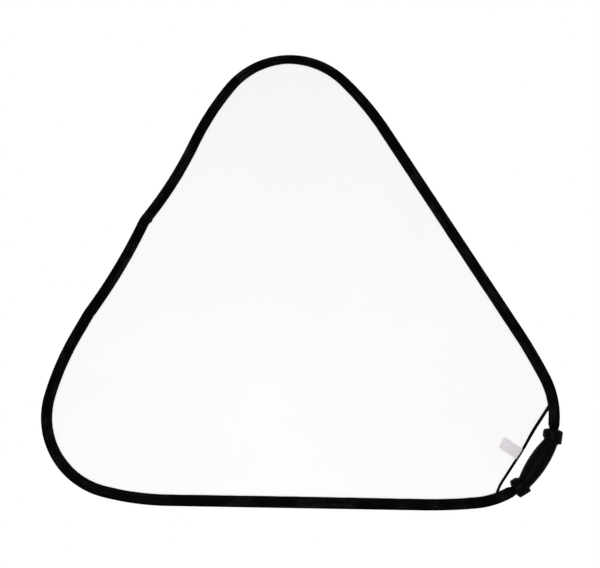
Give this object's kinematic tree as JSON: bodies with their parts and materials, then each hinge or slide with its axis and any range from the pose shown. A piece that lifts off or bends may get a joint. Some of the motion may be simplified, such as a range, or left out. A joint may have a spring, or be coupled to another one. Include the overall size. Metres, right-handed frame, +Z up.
{
  "type": "collapsible reflector",
  "caption": "Rounded-triangle hand-held light reflector: white cloth stretched in a black-bound spring hoop that bends along fold lines, with a moulded grip at one corner.",
  "frame": {"origin": "middle of the grip's barrel, on its axis", "axes": "+X to the viewer's right along the level base, +Y away from the viewer through the panel, +Z up toward the top corner"},
  "size_m": [0.8098, 0.0308, 0.7023],
  "materials": {
    "panel_cloth": "taut white woven cloth",
    "binding_tape": "black woven tape",
    "grip_plastic": "fine moulded texture",
    "spring_steel": "blued strip",
    "plated_steel": "zinc plated",
    "label_tape": "pale woven tape, bare"
  },
  "bodies": {
    "grip_section": {"grip_front_shell": "grip_plastic", "grip_rear_shell": "grip_plastic", "grip_screws": "plated_steel", "hoop_grip_run": "spring_steel", "hoop_end_upper": "spring_steel", "hoop_end_lower": "spring_steel", "splice_strap": "spring_steel", "splice_ferrules": "plated_steel", "binding_grip_upper": "binding_tape", "binding_grip_lower": "binding_tape", "binding_splice": "binding_tape", "panel_middle": "panel_cloth", "corner_hem": "binding_tape"},
    "upper_wing_1": {"panel_upper_1": "panel_cloth", "binding_right_1": "binding_tape", "binding_upper_left_1": "binding_tape", "hoop_right_1": "spring_steel", "hoop_upper_left_1": "spring_steel"},
    "upper_wing_2": {"panel_upper_2": "panel_cloth", "binding_right_2": "binding_tape", "binding_upper_left_2": "binding_tape", "hoop_right_2": "spring_steel", "hoop_upper_left_2": "spring_steel"},
    "upper_wing_3": {"panel_upper_3": "panel_cloth", "binding_apex": "binding_tape", "hoop_apex": "spring_steel"},
    "lower_wing_1": {"panel_lower_1": "panel_cloth", "binding_base_1": "binding_tape", "binding_lower_left_1": "binding_tape", "hoop_base_1": "spring_steel", "hoop_lower_left_1": "spring_steel"},
    "lower_wing_2": {"panel_lower_2": "panel_cloth", "binding_base_2": "binding_tape", "binding_lower_left_2": "binding_tape", "hoop_base_2": "spring_steel", "hoop_lower_left_2": "spring_steel"},
    "lower_wing_3": {"panel_lower_3": "panel_cloth", "binding_left_corner": "binding_tape", "hoop_left_corner": "spring_steel"},
    "label_flap": {"label": "label_tape"}
  },
  "joints": [
    {"name": "upper_fold_1", "type": "hinge", "parent": "grip_section", "child": "upper_wing_1", "pos_m": [0.04042, 0, 0.09147], "axis": [0.9147, 0, -0.4042], "range_deg": [-30, 30], "stiffness_Nm_per_rad": 1.5},
    {"name": "upper_fold_2", "type": "hinge", "parent": "upper_wing_1", "child": "upper_wing_2", "pos_m": [0.06669, 0, 0.15092], "axis": [0.9147, 0, -0.4042], "range_deg": [-30, 30], "stiffness_Nm_per_rad": 1.5},
    {"name": "upper_fold_3", "type": "hinge", "parent": "upper_wing_2", "child": "upper_wing_3", "pos_m": [0.09297, 0, 0.21038], "axis": [0.9147, 0, -0.4042], "range_deg": [-30, 30], "stiffness_Nm_per_rad": 1.5},
    {"name": "lower_fold_1", "type": "hinge", "parent": "grip_section", "child": "lower_wing_1", "pos_m": [-0.04042, 0, -0.09147], "axis": [-0.9147, 0, 0.4042], "range_deg": [-30, 30], "stiffness_Nm_per_rad": 1.5},
    {"name": "lower_fold_2", "type": "hinge", "parent": "lower_wing_1", "child": "lower_wing_2", "pos_m": [-0.06669, 0, -0.15092], "axis": [-0.9147, 0, 0.4042], "range_deg": [-30, 30], "stiffness_Nm_per_rad": 1.5},
    {"name": "lower_fold_3", "type": "hinge", "parent": "lower_wing_2", "child": "lower_wing_3", "pos_m": [-0.09297, 0, -0.21038], "axis": [-0.9147, 0, 0.4042], "range_deg": [-30, 30], "stiffness_Nm_per_rad": 1.5},
    {"name": "label_lift", "type": "hinge", "parent": "grip_section", "child": "label_flap", "pos_m": [-0.03013, -0.0007, 0.0134], "axis": [0.5299, 0, 0.848], "range_deg": [0, 110], "stiffness_Nm_per_rad": 0.0002}
  ],
  "couplings": [
    {"joint": "upper_fold_2", "follows": "upper_fold_1", "ratio": 1},
    {"joint": "upper_fold_3", "follows": "upper_fold_1", "ratio": 1},
    {"joint": "lower_fold_2", "follows": "lower_fold_1", "ratio": 1},
    {"joint": "lower_fold_3", "follows": "lower_fold_1", "ratio": 1}
  ]
}
